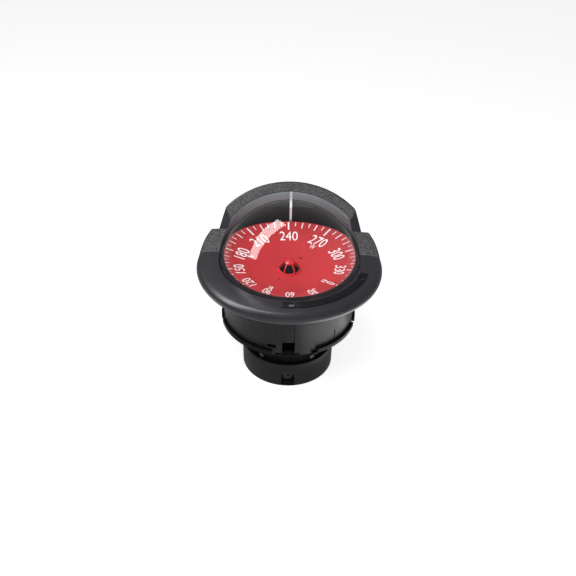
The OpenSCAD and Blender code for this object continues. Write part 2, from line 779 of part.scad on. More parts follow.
module cup_screws() color("silver") for (a = cup_screw_angles) {
    cup_screw_bar(a, screw_r - running_gap, spigot_r - neck_wall, neck_r);
    intersection() {
        cup_screw_bar(a, screw_head_r, neck_r - fit_gap, neck_r + screw_head_h);
        tube(neck_r + screw_head_h, neck_r, groove_z, canister_z);
    }
}

module cable_gland() color("#9a9a94") translate([recess_x, recess_y, gland_z]) rotate([90, 0, 0]) difference() {
    union() {
        translate([0, 0, -recess_wall]) cylinder(r = gland_barrel_r, h = recess_wall);
        cylinder(r = gland_nut_r, h = gland_nut_h, $fn = 6);
        translate([0, 0, -recess_wall - gland_nut_h]) cylinder(r = gland_nut_r, h = gland_nut_h, $fn = 6);
    }
    translate([0, 0, -recess_wall - gland_nut_h - cut])
        cylinder(r = gland_bore_r, h = recess_wall + gland_nut_h * 2 + cut * 2);
}

// A round bar along X or Y at the gimbal's height, between two distances from the middle
module axis_bar(turn, radius, r0, r1) {
    rotate([0, 0, turn]) translate([r0, 0, gimbal_z]) rotate([0, 90, 0]) cylinder(r = radius, h = r1 - r0);
}

module gimbal_ring() color("#c0c2c4") difference() {
    tube(gimbal_r, gimbal_inner_r, gimbal_z - gimbal_h / 2, gimbal_z + gimbal_h / 2);
    for (turn = [0, 180]) axis_bar(turn, pin_r, gimbal_inner_r - cut, gimbal_r + cut);
    for (turn = [90, 270]) axis_bar(turn, pin_r + running_gap, gimbal_inner_r - cut, gimbal_r + cut);
}

module gimbal_pins() color("#d0d0d0") for (turn = [0, 180])
    axis_bar(turn, pin_r, gimbal_inner_r, fork_x + fork_t - fit_gap);

module cradle() color("#202022") difference() {
    union() {
        bar(cradle_r, gimbal_z - cradle_h / 2, gimbal_z + cradle_h / 2);
        bar(post_r, gimbal_z, card_z + pivot_point_h / 2);
        bar(post_r, gimbal_z - cradle_h / 2 - weight_gap - weight_h, gimbal_z);
    }
    for (turn = [90, 270]) axis_bar(turn, pin_r, cradle_r / 2, cradle_r + cut);
    bar(pivot_r, card_z, point_z);
}

module cradle_pins() color("#d0d0d0") for (turn = [90, 270])
    axis_bar(turn, pin_r, cradle_r / 2, gimbal_r - fit_gap);

module counterweight() color("#b5924a") {
    top = gimbal_z - cradle_h / 2 - weight_gap;
    tube(weight_r, post_r, top - weight_h, top);
}

module pivot() color("#d8d8da") {
    bar(pivot_r, card_z, point_z - pivot_r * 2);
    translate([0, 0, point_z - pivot_r * 2]) cylinder(r1 = pivot_r, r2 = pivot_r / 4, h = pivot_r * 2);
}

// The card, with two triangular vent slits outside its float
module card_disc() color("#c8202c") difference() {
    tube(card_r, card_hole_r, card_z - card_t, card_z);
    for (turn = [0, 180]) rotate([0, 0, vent_angle + turn]) translate([vent_r, 0, card_z - card_t - cut])
        linear_extrude(card_t + cut * 2) polygon([
            [-vent_w / 2, -vent_l / 2],
            [vent_w / 2, -vent_l / 2],
            [0, vent_l / 2]
        ]);
}

// The cage: a ring at its foot, arched ribs and a closed cap over the jewel's holder
module card_hub() color("#c8202c") union() {
    tube(hub_r, hub_r - hub_wall, card_z, card_z + hub_ring_h);
    intersection() {
        difference() {
            translate([0, 0, card_z]) sphere(r = hub_r);
            translate([0, 0, card_z]) sphere(r = hub_r - hub_wall);
        }
        union() {
            bar(hub_cap_r, card_z, card_z + hub_r * 2);
            for (i = [0 : hub_ribs - 1]) rotate([0, 0, (i + 0.5) * 360 / hub_ribs - 90])
                translate([0, -hub_rib_w / 2, card_z]) cube([hub_r * 2, hub_rib_w, hub_r * 2]);
        }
    }
}

// The jewel's holder hangs from the inside of the cage's cap
module jewel_holder() color("#18181a") difference() {
    intersection() {
        bar(jewel_holder_r, point_z - jewel_h / 2, card_z + hub_r);
        translate([0, 0, card_z]) sphere(r = hub_r - hub_wall);
    }
    bar(pivot_r * 2, card_z, point_z + jewel_h);
}

module jewel() color("#d04060") difference() {
    bar(pivot_r * 2, point_z - jewel_h / 2, point_z + jewel_h);
    translate([0, 0, card_z]) cylinder(r = pivot_r + running_gap * 2, h = pivot_point_h + fit_gap);
}

module card_float() color("#26262a") tube(float_r, card_hole_r, card_z - card_t - float_h, card_z - card_t);

module card_magnets() color("#6e7074") rotate([0, 0, north_angle]) for (side = [-1, 1])
    translate([-magnet_l / 2, side * magnet_offset - magnet_w / 2, card_z - card_t - magnet_t])
    cube([magnet_l, magnet_w, magnet_t]);

// A compensator's slotted screw, with the shaft that carries its magnet
module comp_screw(angle) color("#c9cacc") around([angle], comp_circle_r) difference() {
    union() {
        bar(comp_shaft_r, rim_z + fit_gap, comp_seat_z + fit_gap);
        bar(comp_head_r, comp_seat_z + fit_gap, comp_seat_z + fit_gap + comp_head_h);
    }
    translate([-comp_head_r, -comp_shaft_r / 4, comp_seat_z + fit_gap + comp_head_h / 2])
        cube([comp_head_r * 2, comp_shaft_r / 2, comp_head_h]);
}

module comp_magnet(angle) color("#6e7074") around([angle], comp_circle_r)
    tube(comp_magnet_r, comp_shaft_r, rim_z + fit_gap, rim_z + fit_gap + comp_magnet_h);

module comp_screw_a() comp_screw(comp_angle_a);
module comp_magnet_a() comp_magnet(comp_angle_a);
module comp_screw_b() comp_screw(comp_angle_b);
module comp_magnet_b() comp_magnet(comp_angle_b);

bezel_ring();
hood();
hood_line();
hood_screws();
label_plate();
dome();
dome_gasket();
bowl();
lubber_line();
night_lamp();
gimbal_stand();
stand_screws();
diaphragm();
diaphragm_clamp();
clamp_screws();
filler_plug();
canister();
canister_screws();
clamp_ring();
neck();
neck_screws();
lower_cup();
cup_screws();
cable_gland();
gimbal_ring();
gimbal_pins();
cradle();
cradle_pins();
counterweight();
pivot();
card_disc();
card_hub();
jewel_holder();
jewel();
card_float();
card_magnets();
comp_screw_a();
comp_magnet_a();
comp_screw_b();
comp_magnet_b();
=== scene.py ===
# %% [markdown]
# # A flush-mounted marine compass
# This lesson dresses the CAD model of a liquid-filled dome compass. The CAD nodes are the frame: they never
# move. Each visible piece is either a CAD node with a better material, a CAD node whose copy gets its moulded
# edges rounded, or a new piece that takes the node's place.

# %% The frame
import json
import math
import bpy
import numpy as np
from mathutils import Matrix, Vector

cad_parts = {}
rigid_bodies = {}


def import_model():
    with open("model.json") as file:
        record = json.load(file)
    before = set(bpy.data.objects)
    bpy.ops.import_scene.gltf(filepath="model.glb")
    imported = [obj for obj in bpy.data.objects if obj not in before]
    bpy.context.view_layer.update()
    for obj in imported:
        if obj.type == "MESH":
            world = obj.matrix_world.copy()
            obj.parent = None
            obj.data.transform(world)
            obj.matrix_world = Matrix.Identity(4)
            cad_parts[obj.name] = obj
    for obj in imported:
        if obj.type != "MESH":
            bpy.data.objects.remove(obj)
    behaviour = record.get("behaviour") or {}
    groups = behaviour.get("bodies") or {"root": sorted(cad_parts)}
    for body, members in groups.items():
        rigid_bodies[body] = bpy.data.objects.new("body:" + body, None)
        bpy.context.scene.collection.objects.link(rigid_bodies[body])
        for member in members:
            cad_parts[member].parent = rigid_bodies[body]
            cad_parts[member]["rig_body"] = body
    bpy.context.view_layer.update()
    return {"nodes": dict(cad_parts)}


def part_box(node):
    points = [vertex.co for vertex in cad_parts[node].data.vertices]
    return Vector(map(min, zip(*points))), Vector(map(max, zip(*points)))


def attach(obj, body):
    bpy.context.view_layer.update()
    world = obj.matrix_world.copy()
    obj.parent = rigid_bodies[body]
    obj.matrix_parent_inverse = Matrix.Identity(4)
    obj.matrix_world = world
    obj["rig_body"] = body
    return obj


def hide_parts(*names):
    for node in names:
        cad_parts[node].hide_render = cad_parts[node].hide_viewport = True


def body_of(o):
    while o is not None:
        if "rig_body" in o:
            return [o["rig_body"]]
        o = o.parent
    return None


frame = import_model()
MM = 0.001

# %% [markdown]
# ## Heights and radii
# The dressed pieces sit on the CAD nodes. Their main sizes could be typed again, but they are read from the
# nodes' own boxes, so that both models stay together. Only the small forms that the CAD leaves plain, such as
# roundings and print, have sizes of their own.

# %% Sizes taken from the nodes
def node_top(node):
    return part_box(node)[1].z


def node_bottom(node):
    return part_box(node)[0].z


flange_top = node_top("bezel_ring")
panel_face = node_bottom("bezel_ring")
flange_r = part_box("bezel_ring")[1].x
edge_r = 6 * MM
dome_r = node_top("dome") - panel_face
card_face = node_top("card_disc")
print(f"flange {flange_r / MM:.1f}, dome {dome_r / MM:.1f}, card face at {card_face / MM:.1f} mm")

# %% [markdown]
# ## Camera
# The photograph was taken from the front, 36 degrees above the horizon, from about 0.7 m. The camera is
# turned a little about its own axis, because the compass leans a little in the picture.

# %% Camera
camera_distance = 0.7
camera_elevation = math.radians(35.63)
camera_roll = math.radians(1.39)
camera_target = Vector((0, 0, 90.5 * MM))
photo_width = 576
lens_in_pixels = 686
middle_in_pixels = 288.93
film_width = 36
nearest, farthest = 0.01, 50

camera_data = bpy.data.cameras.new("camera")
camera = bpy.data.objects.new("camera", camera_data)
bpy.context.scene.collection.objects.link(camera)
camera_back = Vector((0, -math.cos(camera_elevation), math.sin(camera_elevation)))
camera.matrix_world = (
    Matrix.Translation(camera_target + camera_back * camera_distance)
    @ (-camera_back).to_track_quat("-Z", "Y").to_matrix().to_4x4()
    @ Matrix.Rotation(camera_roll, 4, "Z")
)
camera_data.sensor_width = film_width
camera_data.lens = film_width * lens_in_pixels / photo_width
camera_data.shift_x = (photo_width / 2 - middle_in_pixels) / photo_width
camera_data.clip_start, camera_data.clip_end = nearest, farthest
bpy.context.scene.camera = camera
print(f"lens {camera_data.lens:.1f} mm")

# %% [markdown]
# ## Working by hand, in code
# Operators act on whatever is selected, so a helper first deselects everything and then takes one object. A
# second helper adds a modifier and applies it at once, as one does with the Apply button. Two more shade a
# piece smooth up to an angle, and merge its doubles and turn its faces outwards.

# %% Selection and modifier helpers
merge_gap = 0.002 * MM


def take(obj):
    if bpy.context.object and bpy.context.object.mode != "OBJECT":
        bpy.ops.object.mode_set(mode="OBJECT")
    bpy.ops.object.select_all(action="DESELECT")
    obj.select_set(True)
    bpy.context.view_layer.objects.active = obj


def apply_modifier(obj, kind, **settings):
    take(obj)
    modifier = obj.modifiers.new(kind.lower(), kind)
    for key, value in settings.items():
        setattr(modifier, key, value)
    bpy.ops.object.modifier_apply(modifier=modifier.name)


def smooth(obj, degrees):
    take(obj)
    bpy.ops.object.shade_smooth_by_angle(angle=math.radians(degrees))


def clean_faces(obj):
    take(obj)
    bpy.ops.object.mode_set(mode="EDIT")
    bpy.ops.mesh.select_all(action="SELECT")
    bpy.ops.mesh.remove_doubles(threshold=merge_gap)
    bpy.ops.mesh.normals_make_consistent(inside=False)
    bpy.ops.object.mode_set(mode="OBJECT")


# %% [markdown]
# ## Finishes
# The real parts are moulded plastic, print, rubber and small metal pieces. A flat colour looks like a drawing
# and an image needs a file, so every finish is a Principled shader whose colour, roughness and relief come
# from noise on Object coordinates. Wide patches shift the colour, and fine grains shift the gloss and the
# relief. A constant value sits on the shader's own socket, so that it survives the export.

# %% Noise, blend and relief
def noise(tree, place, scale, detail, roughness=0.5):
    texture = tree.nodes.new("ShaderNodeTexNoise")
    texture.inputs["Scale"].default_value = scale
    texture.inputs["Detail"].default_value = detail
    texture.inputs["Roughness"].default_value = roughness
    tree.links.new(place, texture.inputs["Vector"])
    return texture.outputs["Fac"]


def blend(tree, share, dark):
    mix = tree.nodes.new("ShaderNodeMix")
    mix.data_type = "RGBA"
    mix.inputs["A"].default_value = (*dark, 1)
    tree.links.new(share, mix.inputs["Factor"])
    return mix.inputs["B"], mix.outputs["Result"]


def raise_grain(tree, height, depth):
    normal = tree.nodes["Principled BSDF"].inputs["Normal"]
    bump = tree.nodes.new("ShaderNodeBump")
    bump.inputs["Strength"].default_value = 1
    bump.inputs["Distance"].default_value = depth
    tree.links.new(height, bump.inputs["Height"])
    for link in normal.links:
        tree.links.new(link.from_socket, bump.inputs["Normal"])
    tree.links.new(bump.outputs["Normal"], normal)


def darken(tree, share, dark):
    colour = tree.nodes["Principled BSDF"].inputs["Base Color"]
    light, result = blend(tree, share, dark)
    tree.links.new(colour.links[0].from_socket, light)
    tree.links.new(result, colour)


# %% [markdown]
# One function mixes all plain finishes. Its relief is in millimetres, and its lines squeeze the grain along
# Z, which leaves fine turning lines round the canister.

# %% One helper for all plain finishes
patch_detail, grain_detail = 4, 3


def finish(
    name, dark, light, roughness, spread=0.06, grain=900, relief=0.02, patch=60, shine=0.5, lines=1, **extra
):
    material = bpy.data.materials.new(name)
    material.use_nodes = True
    tree = material.node_tree
    shader = tree.nodes["Principled BSDF"]
    place = tree.nodes.new("ShaderNodeTexCoord").outputs["Object"]
    lighter, colour = blend(tree, noise(tree, place, patch, patch_detail), dark)
    lighter.default_value = (*light, 1)
    tree.links.new(colour, shader.inputs["Base Color"])
    squeeze = tree.nodes.new("ShaderNodeMapping")
    squeeze.inputs["Scale"].default_value = (1, 1, lines)
    tree.links.new(place, squeeze.inputs["Vector"])
    grains = noise(tree, squeeze.outputs["Vector"], grain, grain_detail)
    rough = tree.nodes.new("ShaderNodeMapRange")
    rough.inputs["To Min"].default_value = roughness - spread
    rough.inputs["To Max"].default_value = roughness + spread
    tree.links.new(grains, rough.inputs["Value"])
    tree.links.new(rough.outputs["Result"], shader.inputs["Roughness"])
    raise_grain(tree, grains, relief * MM)
    shader.inputs["Specular IOR Level"].default_value = shine
    for socket, value in extra.items():
        shader.inputs[socket.replace("_", " ")].default_value = value
    return material


# %% [markdown]
# The flange is a satin black with a hint of violet, the canister is a plainer black, and the inner parts are
# darker still. The card is a warm red with white print. Each pair of colours gives the darkest and the palest
# patch of that finish.

# %% The finishes of this compass
materials_before = len(bpy.data.materials)
flange_black = finish(
    "flange_black", (0.020, 0.018, 0.026), (0.034, 0.031, 0.041), 0.34, grain=500, relief=0.003, shine=0.65
)
canister_black = finish(
    "canister_black", (0.009, 0.009, 0.009), (0.024, 0.023, 0.024), 0.40,
    spread=0.12, grain=60, relief=0.02, shine=0.28, lines=22,
)
ring_black = finish(
    "ring_black", (0.004, 0.004, 0.004), (0.008, 0.008, 0.008), 0.42, relief=0.006, shine=0.12
)
inner_black = finish(
    "inner_black", (0.007, 0.006, 0.008), (0.012, 0.011, 0.013), 0.5, relief=0.006, shine=0.2
)
rubber_black = finish("rubber_black", (0.008, 0.008, 0.008), (0.014, 0.014, 0.014), 0.7, relief=0.02)
label_black = finish(
    "label_black", (0.005, 0.004, 0.006), (0.010, 0.009, 0.011), 0.42, relief=0.004, shine=0.25
)
white_paint = finish("white_paint", (0.78, 0.77, 0.78), (0.86, 0.86, 0.87), 0.45, relief=0.004)
line_white = finish("line_white", (0.72, 0.71, 0.74), (0.80, 0.80, 0.82), 0.5, relief=0.004)
screw_steel = finish("screw_steel", (0.38, 0.38, 0.39), (0.50, 0.50, 0.51), 0.30, relief=0.004, Metallic=1.0)
dark_steel = finish("dark_steel", (0.10, 0.10, 0.10), (0.20, 0.20, 0.20), 0.30, relief=0.004, Metallic=1.0)
pale_alloy = finish("pale_alloy", (0.62, 0.63, 0.64), (0.72, 0.72, 0.73), 0.34, relief=0.006, Metallic=1.0)
warm_brass = finish("warm_brass", (0.62, 0.45, 0.18), (0.74, 0.56, 0.26), 0.30, relief=0.006, Metallic=1.0)
magnet_grey = finish("magnet_grey", (0.16, 0.16, 0.17), (0.22, 0.22, 0.23), 0.4, relief=0.008, Metallic=1.0)
gland_grey = finish("gland_grey", (0.07, 0.07, 0.065), (0.11, 0.11, 0.10), 0.42, relief=0.01)
lamp_red = finish("lamp_red", (0.42, 0.03, 0.03), (0.52, 0.05, 0.05), 0.25, relief=0.004)
jewel_red = finish("jewel_red", (0.45, 0.02, 0.06), (0.58, 0.04, 0.09), 0.12, relief=0.002)
holder_black = finish("holder_black", (0.006, 0.006, 0.007), (0.010, 0.010, 0.011), 0.12, relief=0.002)
card_red = finish(
    "card_red", (0.385, 0.012, 0.018), (0.46, 0.021, 0.026), 0.45, relief=0.006, patch=24, shine=0.3
)
hub_red = finish("hub_red", (0.50, 0.012, 0.020), (0.62, 0.020, 0.028), 0.30, relief=0.004)
print(len(bpy.data.materials) - materials_before, "plain finishes")

# %% [markdown]
# ## Coarse grain
# The hood's upper faces are moulded with a coarse pebble grain that breaks up the light. Voronoi cells would
# give even scales, so fine noise is used and pushed through a steep ramp. The same ramp lifts the surface and
# sets the colour: the black plastic's crests are painted pale grey as painted sheen, and its valleys are
# painted near black as painted shade.

# %% Grained finish of the hood, with painted sheen and shade
pebble_scale, pebble_detail, pebble_roughness = 1000, 2, 0.6
pebble_depth = 0.9 * MM
valley_share, crest_share = 0.38, 0.62


def grained_finish():
    # the pale grey is painted sheen on the hood's black plastic, not its own colour
    material = finish("hood_grain_painted_sheen", (0.26, 0.26, 0.263), (0.34, 0.34, 0.345), 0.45, grain=1400, relief=0.05)
    tree = material.node_tree
    place = tree.nodes.new("ShaderNodeTexCoord").outputs["Object"]
    pebbles = noise(tree, place, pebble_scale, pebble_detail, pebble_roughness)
    steep = tree.nodes.new("ShaderNodeValToRGB")
    steep.color_ramp.elements[0].position = valley_share
    steep.color_ramp.elements[1].position = crest_share
    tree.links.new(pebbles, steep.inputs["Fac"])
    raise_grain(tree, steep.outputs["Color"], pebble_depth)
    # painted shade: the ramp mixes near black into the pebbles' valleys, so only the crests keep the painted
    # sheen
    darken(tree, steep.outputs["Color"], (0.03, 0.03, 0.031))
    return material


hood_grain_painted_sheen = grained_finish()
print(f"pebbles {pebble_depth / MM} mm deep")

# %% [markdown]
# The hood's inner wall is smooth black plastic. Its colour is painted pale grey at its top edge, as painted
# light from the front, and painted shade darkens it low down, where the dome is only a millimetre away and
# little light gets in. A mix along the object's Z gives that fall.

# %% Painted light and shade on the hood's inner wall
wall_shade_paint_z = panel_face + 19 * MM
wall_light_paint_z = panel_face + 50 * MM


def shaded_wall():
    # the pale blue-grey is painted light on black plastic; the mix by height below is painted shade
    material = finish("inner_wall_painted_light", (0.28, 0.34, 0.36), (0.33, 0.39, 0.41), 0.42, relief=0.01)
    tree = material.node_tree
    split = tree.nodes.new("ShaderNodeSeparateXYZ")
    tree.links.new(tree.nodes.new("ShaderNodeTexCoord").outputs["Object"], split.inputs["Vector"])
    height = tree.nodes.new("ShaderNodeMapRange")
    height.inputs["From Min"].default_value = wall_shade_paint_z
    height.inputs["From Max"].default_value = wall_light_paint_z
    tree.links.new(split.outputs["Z"], height.inputs["Value"])
    darken(tree, height.outputs["Result"], (0.03, 0.03, 0.033))
    return material


inner_wall_painted_light = shaded_wall()
print(f"the wall turns pale from {wall_shade_paint_z / MM:.0f} to {wall_light_paint_z / MM:.0f} mm")

# %% [markdown]
# ## Clear dome and its liquid
# Acrylic and compass oil bend light almost alike, so the wall between them can't be seen. The dome and the
# liquid behind it are therefore one clear body: its outside is the dome, and its underside hides in the bowl's
# wall. The shader's own reflection is off and a thin coat carries it instead, a little blurred, so that the
# lamp's pale band shows while the dome's outline stays faint. Shadow rays pass straight through, or the lamps
# couldn't light the card.

# %% Clear finish
CLEAR = {
    "Roughness": 0, "Specular IOR Level": 0, "Coat Weight": 0.12, "Coat IOR": 2.0, "Coat Roughness": 0.035,
    "Transmission Weight": 1, "IOR": 1.43,
}
film_scale, film_detail = 40, 2
film_tint = (0.97, 0.96, 0.97)
shadow_share = 0.95


def clear_finish():
    material = bpy.data.materials.new("clear_dome")
    material.use_nodes = True
    tree = material.node_tree
    shader = tree.nodes["Principled BSDF"]
    for socket, value in CLEAR.items():
        shader.inputs[socket].default_value = value
    place = tree.nodes.new("ShaderNodeTexCoord").outputs["Object"]
    clear, colour = blend(tree, noise(tree, place, film_scale, film_detail), film_tint)
    clear.default_value = (1, 1, 1, 1)
    tree.links.new(colour, shader.inputs["Base Color"])
    lets_through = tree.nodes.new("ShaderNodeBsdfTransparent")
    lets_through.inputs["Color"].default_value = (shadow_share, shadow_share, shadow_share, 1)
    path = tree.nodes.new("ShaderNodeLightPath")
    either = tree.nodes.new("ShaderNodeMixShader")
    tree.links.new(path.outputs["Is Shadow Ray"], either.inputs["Fac"])
    tree.links.new(shader.outputs["BSDF"], either.inputs[1])
    tree.links.new(lets_through.outputs["BSDF"], either.inputs[2])
    tree.links.new(either.outputs["Shader"], tree.nodes["Material Output"].inputs["Surface"])
    return material


clear_dome = clear_finish()
print("clear body bends light by", CLEAR["IOR"])

# %% [markdown]
# ## A turned piece
# The dome is a body of revolution. A sphere cut flat would need its foot and its liquid added, so one outline
# is spun about the upright axis instead. The outline starts as a plane whose face is deleted, and the spin
# operator turns it through the full circle.

# %% Spinning an outline
spin_steps = 192


def spun(name, outline):
    bpy.ops.object.select_all(action="DESELECT")
    bpy.ops.mesh.primitive_plane_add(size=flange_r)
    piece = bpy.context.object
    piece.name = piece.data.name = name
    mesh = piece.data
    mesh.clear_geometry()
    mesh.from_pydata([(r, 0, z) for r, z in outline], [(i, i + 1) for i in range(len(outline) - 1)], [])
    take(piece)
    bpy.ops.object.mode_set(mode="EDIT")
    bpy.ops.mesh.select_all(action="SELECT")
    bpy.ops.mesh.spin(steps=spin_steps, angle=math.tau, center=(0, 0, 0), axis=(0, 0, 1))
    bpy.ops.object.mode_set(mode="OBJECT")
    clean_faces(piece)
    return piece


def arc(middle, radius, start, end, count):
    angles = np.radians(np.linspace(start, end, count))
    return [(middle[0] + radius * math.cos(a), middle[1] + radius * math.sin(a)) for a in angles]


# %% [markdown]
# The outline runs down the dome to its foot, in over the bowl's rim and down inside the bowl's wall. The
# liquid reaches a little into that wall, so that no gap shows between the two.

# %% The dome and its liquid
foot_top = panel_face + 8.5 * MM
foot_bottom = panel_face + 6 * MM
foot_lip = 2 * MM
foot_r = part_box("dome")[1].x
bowl_inner = 61 * MM
bowl_flat = 31 * MM
bowl_floor = node_bottom("gimbal_stand")
over_rim = panel_face + 3.6 * MM
buried = 1.25 * MM
bend_r = bowl_inner - bowl_flat
dome_steps, bend_steps = 72, 18
dome_low = math.degrees(math.asin((foot_top - panel_face) / dome_r))
dome_outline = (
    arc((0, panel_face), dome_r, 90, dome_low, dome_steps)
    + [(foot_r, foot_top), (foot_r, foot_bottom), (foot_r - foot_lip, foot_bottom)]
    + [(foot_r - foot_lip, over_rim), (bowl_inner + buried, over_rim)]
    + arc((bowl_flat, bowl_floor + bend_r), bend_r + buried, 0, -90, bend_steps)
    + [(0, bowl_floor - buried)]
)
dome_outline[0] = (0, dome_outline[0][1])
dome = spun("dome_and_liquid", dome_outline)
smooth(dome, degrees=30)
dome.data.materials.clear()
dome.data.materials.append(clear_dome)
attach(dome, "housing")
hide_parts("dome")
print("dome and liquid:", len(dome.data.polygons), "faces")

# %% [markdown]
# ## The hood
# The hood is one moulding: a low ring that completes the flange, two ears that rise from a straight front
# joint, and a tall step whose top slopes up towards the bow. Its form is a height over every point of the
# ring, so the piece starts as a grid that is wrapped round the dome. Each form is a plane or a ruled face, and
# a soft minimum or maximum between two of them leaves the rounded edge of a moulding.

# %% Soft edges and slanted planes
def soft_min(a, b, radius):
    share = np.clip(0.5 + 0.5 * (b - a) / radius, 0, 1)
    return b + (a - b) * share - radius * share * (1 - share)


def soft_max(a, b, radius):
    return -soft_min(-a, -b, radius)


def rounded_edge(distance, radius):
    inside = np.clip(1 - distance / radius, 0, 1)
    return radius * (1 - np.sqrt(1 - inside**2))


def plane_through(p, q, r):
    normal = np.cross(q - p, r - p)
    return lambda x, y: p[2] - (normal[0] * (x - p[0]) + normal[1] * (y - p[1])) / normal[2]


def polar(radius, degrees, height):
    a = math.radians(degrees)
    return np.array([radius * math.cos(a), radius * math.sin(a), height]) * MM


# %% [markdown]
# The low ring has the flange's crown and its round edge. Behind the front joint at front_y, each ear rises in
# a straight line to a crest, lower at its outer side, and falls steeply behind it.

# %% The ring and its ears
hood_in = dome_r + 1 * MM
flat_r = flange_r - edge_r
crown = 1.5 * MM
flange_plane = flange_top - crown
front_y = 10 * MM
ear_width = 17 * MM
ear_crest = 15.9 * MM
ear_crest_drop = 5.4 * MM
ear_crest_angle = math.radians(26.6)
ear_back_slope = 3.2
ear_ridge_r = 2 * MM
ear_edge_r = 3.2 * MM
ear_edge_rate = 1.6


def flange_height(radius):
    slope = crown * np.clip((flat_r - radius) / (flat_r - dome_r), 0, 1)
    return slope - rounded_edge(flange_r - radius, edge_r)


def ear_height(y, radius):
    crest_h = ear_crest - ear_crest_drop * (radius - hood_in) / ear_width
    crest_y = radius * math.sin(ear_crest_angle)
    rise = (y - front_y) / (crest_y - front_y)
    falling = crest_h - (y - crest_y) * ear_back_slope
    height = soft_min(crest_h * rise, falling, ear_ridge_r)
    lifted = np.clip(rise * ear_edge_rate, 0, 1)
    edge = rounded_edge(flange_r - radius, ear_edge_r) * lifted
    return height - edge + (1 - lifted) * flange_height(radius)


print(f"hood from {hood_in / MM:.1f} to {flange_r / MM:.1f} mm, ears {ear_crest / MM:.1f} mm high")

# %% [markdown]
# The step is narrower than the ring. Its top is one sloped plane, and a slanted plane through three points
# ends it on each side.

# %% The step
step_out = hood_in + 13.5 * MM
step_front = 24.4 * MM
step_front_y = 38.3 * MM
step_slope = 0.423
step_ridge_r = 2.2 * MM
step_edge_r = 1.2 * MM
step_joint_r = 1.4 * MM
wall_edge_r = 1.3 * MM
wall_edge_rise = 4 * MM
hair = 0.001 * MM
end_face = plane_through(polar(84.5, 29.8, 10), polar(84.5, 38, 30), polar(71, 32.6, 24.4))


def step_height(x, y, radius):
    top = step_front + step_slope * (y - step_front_y)
    ends = end_face(np.abs(x), y)
    height = soft_min(top, ends, step_ridge_r) - rounded_edge(step_out - radius, step_edge_r)
    return np.where(radius > step_out + hair, -edge_r, height)


def hood_height(x, y):
    radius = np.hypot(x, y)
    rise = soft_max(ear_height(y, radius), step_height(x, y, radius), step_joint_r)
    rise = rise - rounded_edge(radius - hood_in, wall_edge_r) * np.clip(rise / wall_edge_rise, 0, 1)
    return np.maximum(rise, flange_height(radius))


print(f"step {(step_out - hood_in) / MM:.1f} mm wide, its top rises by {step_slope}")

# %% [markdown]
# The grid's rows become circles round the dome. They crowd at the inner wall, at the step's outer face and at
# the ring's round edge, where the height changes fast. The last four rows run round the underside.

# %% Wrapping the grid
wall_zone = 1.6 * MM
step_zone = 2.2 * MM
seat_drop = 2 * MM
wall_rows, top_rows, step_rows, rim_rows = 12, 18, 14, 18
past_step = step_out + np.array([0.02, 0.5, 1.2, 2.0]) * MM
hood_columns = 420


def crowded(start, end, rows):
    return end - (1 - np.linspace(0, 1, rows)[1:]) ** 2 * (end - start)


def hood_rows():
    near_wall = hood_in + np.linspace(0, 1, wall_rows) ** 2 * wall_zone
    on_top = np.linspace(near_wall[-1], step_out - step_zone, top_rows)[1:]
    near_step = crowded(step_out - step_zone, step_out, step_rows)
    near_rim = crowded(past_step[-1], flange_r, rim_rows)
    return np.concatenate([near_wall, on_top, near_step, past_step, near_rim])


def make_hood():
    rows = hood_rows()
    seat, low = flange_plane - seat_drop, flange_plane - edge_r
    under = [(flange_r, low), (flat_r, low), (flat_r, seat), (hood_in, seat)]
    across = len(rows) + len(under)
    bpy.ops.object.select_all(action="DESELECT")
    bpy.ops.mesh.primitive_grid_add(x_subdivisions=hood_columns, y_subdivisions=across - 1, size=2)
    piece = bpy.context.object
    piece.name = piece.data.name = "hood_moulding"
    mesh = piece.data
    flat_co = np.zeros(len(mesh.vertices) * 3)
    mesh.vertices.foreach_get("co", flat_co)
    flat_co = flat_co.reshape(-1, 3)
    share = (flat_co[:, 0] + 1) / 2
    row = np.rint((flat_co[:, 1] + 1) / 2 * (across - 1)).astype(int)
    radius = np.concatenate([rows, [r for r, _ in under]])[row]
    start = np.arcsin(front_y / radius)
    theta = start + share * (math.pi - 2 * start)
    x, y = radius * np.cos(theta), radius * np.sin(theta)
    z = flange_plane + hood_height(x, y)
    fixed = np.concatenate([np.full(len(rows), np.nan), [h for _, h in under]])[row]
    z = np.where(np.isnan(fixed), z, fixed)
    mesh.vertices.foreach_set("co", np.stack([x, y, z], 1).ravel())
    mesh.update()
    return piece


hood = make_hood()
hood_top = max(vertex.co.z for vertex in hood.data.vertices)
print("hood grid:", len(hood.data.vertices), "points, top at", round(hood_top / MM, 1))

# %% [markdown]
# The wrapped grid is still open along its inner seam and at both front joints. The seam's two long edges are
# selected by their place and bridged, and the two ends are filled.

# %% Closing the hood
seam_level = 2 * MM
seam_shortest = 0.2 * MM


def on_seam(ends):
    at_wall = all(abs(math.hypot(c.x, c.y) - hood_in) < hair for c in ends)
    along = abs(ends[0].z - ends[1].z) < seam_level and (ends[0] - ends[1]).length > seam_shortest
    return at_wall and along


def close_hood(piece):
    take(piece)
    bpy.ops.object.mode_set(mode="EDIT")
    bpy.ops.mesh.select_all(action="DESELECT")
    bpy.ops.object.mode_set(mode="OBJECT")
    for edge in piece.data.edges:
        edge.select = on_seam([piece.data.vertices[i].co for i in edge.vertices])
    bpy.ops.object.mode_set(mode="EDIT")
    bpy.ops.mesh.select_mode(type="EDGE")
    bpy.ops.mesh.bridge_edge_loops()
    bpy.ops.mesh.select_all(action="DESELECT")
    bpy.ops.mesh.select_non_manifold(extend=False)
    bpy.ops.mesh.fill()
    bpy.ops.object.mode_set(mode="OBJECT")
    clean_faces(piece)


close_hood(hood)
smooth(hood, degrees=50)
print("hood:", len(hood.data.polygons), "faces")

